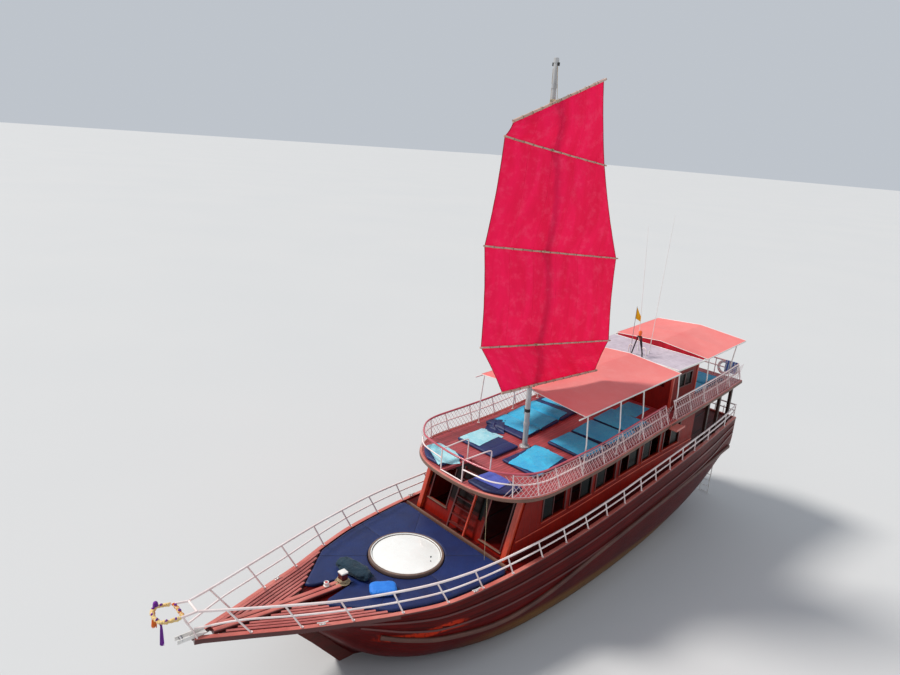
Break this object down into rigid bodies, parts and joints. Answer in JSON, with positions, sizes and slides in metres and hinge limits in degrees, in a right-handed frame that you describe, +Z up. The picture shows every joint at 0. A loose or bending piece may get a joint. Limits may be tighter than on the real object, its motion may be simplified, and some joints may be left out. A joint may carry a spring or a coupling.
{
  "type": "chinese junk ship",
  "caption": "Wooden junk with a long slatted bow, cabin under a railed sun deck, awnings and one battened crimson sail.",
  "frame": {"origin": "on the centreline at the waterline, 10.9 m ahead of the transom", "axes": "+X towards the bow, +Y to port, +Z up; the water's surface is Z 0"},
  "size_m": [25.189, 5.8648, 19.053],
  "materials": {
    "hull_planking": "dark maroon gloss paint over planks",
    "deck_timber": "salmon red painted slats",
    "cap_paint": "salmon red gloss paint",
    "keel_paint": "dull red bottom paint",
    "varnished_wood": "varnished wood",
    "red_wall": "red gloss paint over panelling",
    "dark_wood": "dark stained wood",
    "rail_tube": "pinkish white paint on tube",
    "white_tube": "white paint on tube",
    "roof_grey": "pale grey moulded sheet",
    "canvas": "salmon red canvas",
    "sailcloth": "crimson sailcloth",
    "pad_cover": "navy cushion cover",
    "cushion_blue": "bright blue cushion cover",
    "bag_teal": "dark teal bag cover",
    "disc_white": "white moulded cover",
    "bronze": "cast bronze",
    "roller_steel": "galvanised steel",
    "mast_paint": "grey white paint",
    "bamboo": "weathered bamboo"
  },
  "bodies": {
    "boat": {"hull": "hull_planking", "bow_platform": "deck_timber", "foredeck_cushion": "cushion_blue", "bean_bag": "bag_teal", "keel": "keel_paint", "wale_port": "varnished_wood", "wale_starboard": "varnished_wood", "cap_rail_port": "cap_paint", "cap_rail_starboard": "cap_paint", "skylight_ring": "varnished_wood", "skylight_disc": "disc_white", "foredeck_pad": "pad_cover", "bitt": "varnished_wood", "roller_frame": "white_tube", "deck_rail_port": "rail_tube", "deck_rail_starboard": "rail_tube", "pulpit": "rail_tube", "upper_deck": "deck_timber", "cabin_wall_port": "red_wall", "cabin_wall_starboard": "red_wall", "cabin_front": "red_wall", "cabin_aft": "red_wall", "front_ladder": "red_wall", "upper_rail_port_fore": "rail_tube", "upper_rail_starboard": "rail_tube", "upper_rail_front": "rail_tube", "upper_rail_aft": "rail_tube", "lattice_port_fore": "rail_tube", "lattice_port_aft": "rail_tube", "lattice_starboard": "rail_tube", "house_wall_port": "red_wall", "house_wall_starboard": "red_wall", "house_front": "red_wall", "house_aft": "red_wall", "house_roof": "roof_grey", "awning_fore": "canvas", "awning_aft": "canvas", "awning_frame_fore": "white_tube", "awning_frame_aft": "white_tube", "mast": "mast_paint", "brow_pad_port": "pad_cover", "brow_pad_starboard": "pad_cover", "sun_pad_fore_port": "pad_cover", "sun_pad_fore_starboard": "pad_cover", "sun_pads_port": "pad_cover", "sun_pads_starboard": "pad_cover", "sun_pads_aft": "pad_cover", "aft_posts": "dark_wood", "stern_ladder": "white_tube", "side_step": "cap_paint"},
    "rudder": {"rudder": "keel_paint"},
    "propeller": {"propeller": "bronze"},
    "anchor_roller": {"anchor_roller": "roller_steel"},
    "cabin_door": {"cabin_door": "varnished_wood"},
    "sail": {"boom": "bamboo", "batten_lower": "bamboo", "batten_middle": "bamboo", "batten_upper": "bamboo", "yard": "bamboo", "sail": "sailcloth"}
  },
  "joints": [
    {"name": "rudder_turn", "type": "hinge", "parent": "boat", "child": "rudder", "pos_m": [-8.75, 0, -0.6], "axis": [0, 0, 1], "range_deg": [-35, 35]},
    {"name": "propeller_spin", "type": "hinge", "parent": "boat", "child": "propeller", "pos_m": [-8.09, 0, -0.7], "axis": [1, 0, 0], "continuous": true},
    {"name": "anchor_roller_spin", "type": "hinge", "parent": "boat", "child": "anchor_roller", "pos_m": [13.56, 0, 3], "axis": [0, 1, 0], "continuous": true},
    {"name": "door_swing", "type": "hinge", "parent": "boat", "child": "cabin_door", "pos_m": [-6.4307, -0.4, 4.6], "axis": [0, 0, 1], "range_deg": [-100, 0]},
    {"name": "sail_swing", "type": "hinge", "parent": "boat", "child": "sail", "pos_m": [1.31977, 0, 5], "axis": [0.0429, 0, 0.9991], "range_deg": [-60, 84]}
  ]
}
